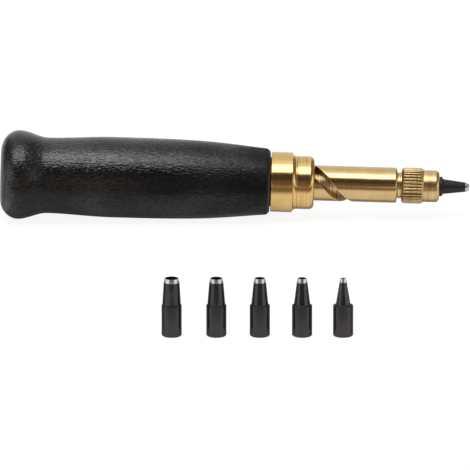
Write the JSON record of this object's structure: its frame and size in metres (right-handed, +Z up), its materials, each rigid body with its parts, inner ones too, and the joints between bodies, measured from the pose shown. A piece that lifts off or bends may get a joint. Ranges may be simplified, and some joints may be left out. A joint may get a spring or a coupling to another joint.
{
  "type": "spiral-drive leather punch",
  "caption": "Push-type rotary leather punch with a black wooden handle, a brass spiral spindle, a knurled chuck, one fitted hollow bit and a row of spare bits.",
  "frame": {"origin": "on the table, in the middle of the box round the tool and its spare bits", "axes": "+X from the butt of the handle towards the cutting tip, level; +Y from the spare bits towards the tool; +Z up from the table"},
  "size_m": [0.138, 0.144, 0.0261],
  "materials": {
    "lacquered_wood": "black satin lacquer over open-pored wood",
    "polished_brass": "turned and polished",
    "brushed_brass": "turned, satin, with a straight knurl",
    "black_steel": "black oxide, with a bright ground lip",
    "bright_steel": "bright"
  },
  "bodies": {
    "handle_body": {"handle": "lacquered_wood", "ferrule": "polished_brass", "guide_bush": "polished_brass", "drive_pin": "bright_steel", "guide_tube": "bright_steel", "spring_seat": "bright_steel", "return_spring": "bright_steel"},
    "follower": {"spring_cup": "bright_steel", "thrust_ball": "bright_steel"},
    "spindle": {"spiral_shaft": "polished_brass", "stop_ring": "bright_steel"},
    "clamp": {"collet": "bright_steel"},
    "nut": {"chuck_nut": "brushed_brass"},
    "bit": {"fitted_bit": "black_steel"},
    "spare_4_0": {"spare_bit_4_0": "black_steel"},
    "spare_3_5": {"spare_bit_3_5": "black_steel"},
    "spare_3_0": {"spare_bit_3_0": "black_steel"},
    "spare_2_5": {"spare_bit_2_5": "black_steel"},
    "spare_1_5": {"spare_bit_1_5": "black_steel"}
  },
  "joints": [
    {"name": "plunge", "type": "slide", "parent": "handle_body", "child": "follower", "axis": [-0.9996, 0, 0.0295], "range_m": [0, 0.0234], "stiffness_N_per_m": 600, "springref_m": -0.012, "deforming": ["return_spring"]},
    {"name": "spindle_turn", "type": "hinge", "parent": "follower", "child": "spindle", "pos_m": [0.03115, 0.0589, 0.01028], "axis": [-0.9996, 0, 0.0295], "range_deg": [0, 331]},
    {"name": "collet_advance", "type": "slide", "parent": "spindle", "child": "clamp", "axis": [0.9996, 0, -0.0295], "range_m": [0, 0.00225]},
    {"name": "nut_turn", "type": "hinge", "parent": "clamp", "child": "nut", "pos_m": [0.05514, 0.0589, 0.00957], "axis": [0.9996, 0, -0.0295], "range_deg": [0, 1081]},
    {"name": "bit_pull", "type": "slide", "parent": "clamp", "child": "bit", "axis": [0.9996, 0, -0.0295], "range_m": [0, 0.02]},
    {"name": "lift_4_0", "type": "slide", "parent": "handle_body", "child": "spare_4_0", "axis": [0, 0, 1], "range_m": [0, 0.04]},
    {"name": "lift_3_5", "type": "slide", "parent": "handle_body", "child": "spare_3_5", "axis": [0, 0, 1], "range_m": [0, 0.04]},
    {"name": "lift_3_0", "type": "slide", "parent": "handle_body", "child": "spare_3_0", "axis": [0, 0, 1], "range_m": [0, 0.04]},
    {"name": "lift_2_5", "type": "slide", "parent": "handle_body", "child": "spare_2_5", "axis": [0, 0, 1], "range_m": [0, 0.04]},
    {"name": "lift_1_5", "type": "slide", "parent": "handle_body", "child": "spare_1_5", "axis": [0, 0, 1], "range_m": [0, 0.04]}
  ],
  "couplings": [
    {"joint": "spindle_turn", "follows": "plunge", "rad_per_m": 246.4},
    {"joint": "nut_turn", "follows": "collet_advance", "rad_per_m": 8377.6}
  ]
}
